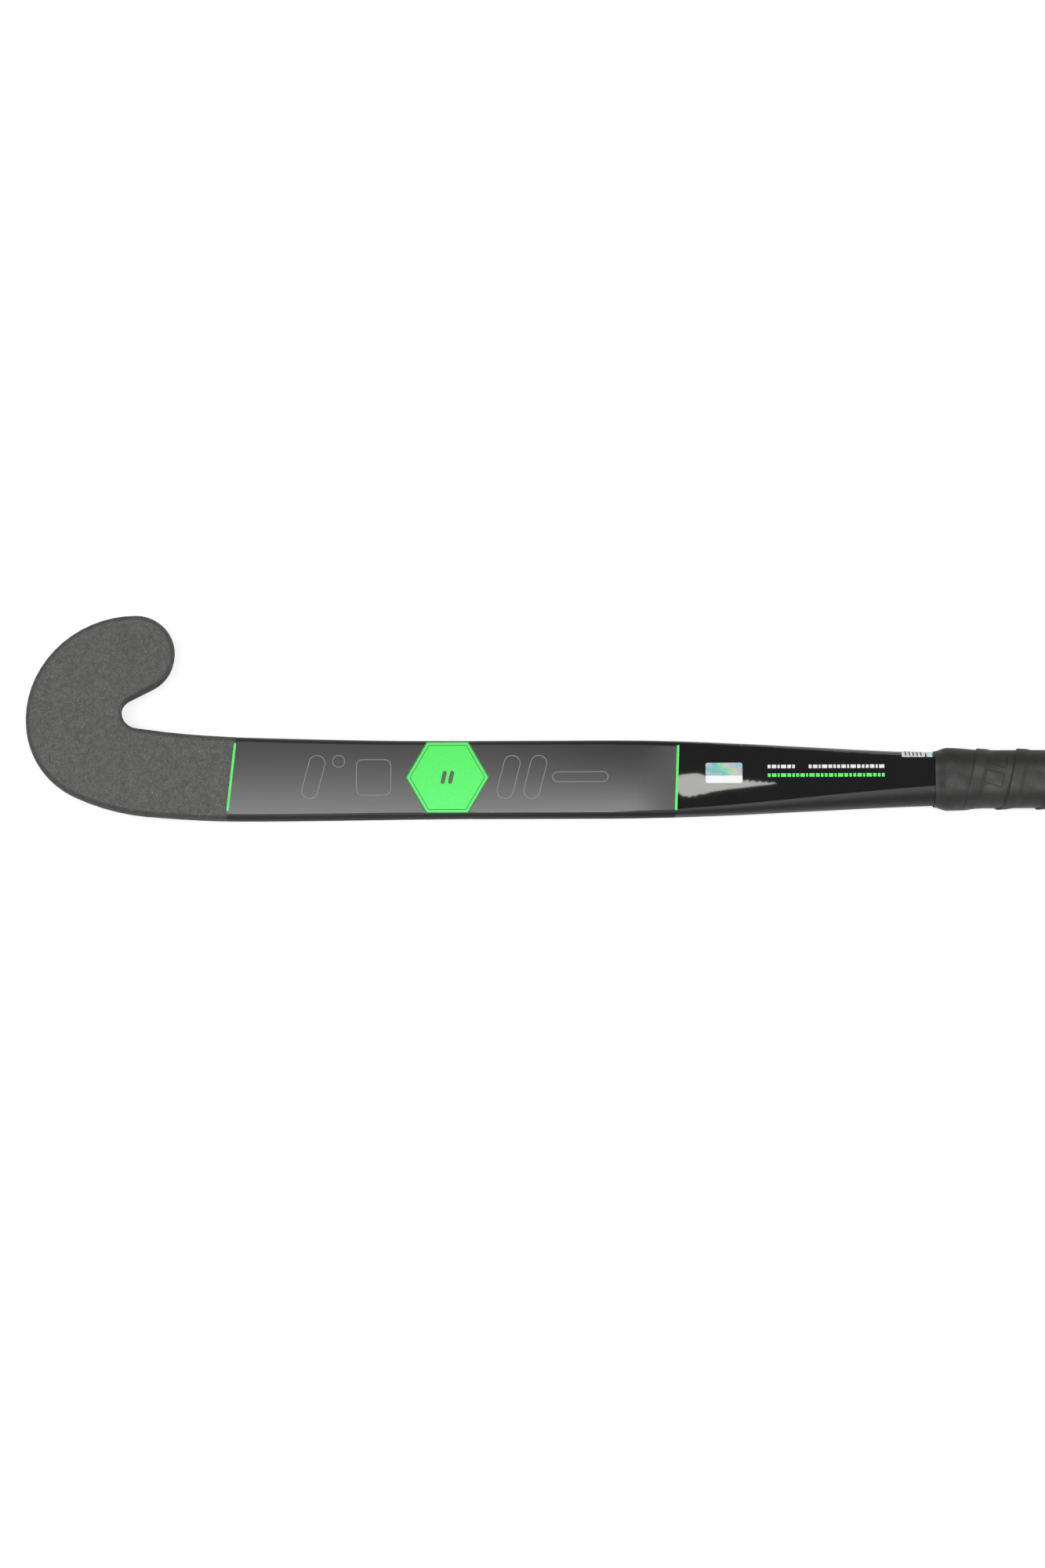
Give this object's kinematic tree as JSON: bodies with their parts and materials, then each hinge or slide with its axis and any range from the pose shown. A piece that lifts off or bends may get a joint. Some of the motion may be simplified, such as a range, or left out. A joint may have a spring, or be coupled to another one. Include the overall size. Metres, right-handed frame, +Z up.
{
  "type": "field hockey stick",
  "caption": "Composite field hockey stick with a hooked head, a low bow, a flat playing face and a spirally wrapped grip.",
  "frame": {"origin": "on the surface the stick lies on, below the middle of its bounding box", "axes": "+X from the head to the butt of the handle, +Y towards the toe of the head, +Z up out of the flat playing face"},
  "size_m": [0.9308, 0.1222, 0.0455],
  "materials": {
    "laminate": "black lacquered carbon laminate, satin on the lower shaft and gloss above",
    "face_coat": "dark grey textured grip coat with fine light specks",
    "green_print": "bright green print under lacquer",
    "badge": "bright green badge with a dark rim",
    "badge_mark": "dark green print",
    "grey_print": "thin light grey print",
    "white_print": "white print",
    "hologram": "iridescent silver foil",
    "label": "white film label",
    "label_print": "black print",
    "pale_mark": "pale cyan print",
    "grip": "dark grey perforated polyurethane tape",
    "grip_backing": "thin adhesive foam felt",
    "finishing": "black vinyl tape",
    "cap": "moulded black rubber",
    "core": "resin and foam filling",
    "ply": "aramid weave in resin",
    "tube": "carbon inner tube",
    "foam": "polyurethane foam"
  },
  "bodies": {
    "root": {"laminate_shell": "laminate", "head_core": "core", "aramid_damping_ply": "ply", "chamber_tube_toe_side": "tube", "chamber_tube_heel_side": "tube", "handle_foam_core": "foam", "butt_cap": "cap", "grip_backing_layer": "grip_backing", "grip_wrap": "grip", "grip_finishing_tape": "finishing", "face_grip_coat": "face_coat", "lower_stripe": "green_print", "upper_stripe": "green_print", "emblem_badge": "badge", "emblem_mark": "badge_mark", "outline_graphic": "grey_print", "print_row_white": "white_print", "print_row_green": "green_print", "hologram_sticker": "hologram", "spec_label": "label", "spec_label_print": "label_print", "edge_mark": "pale_mark"}
  },
  "joints": []
}
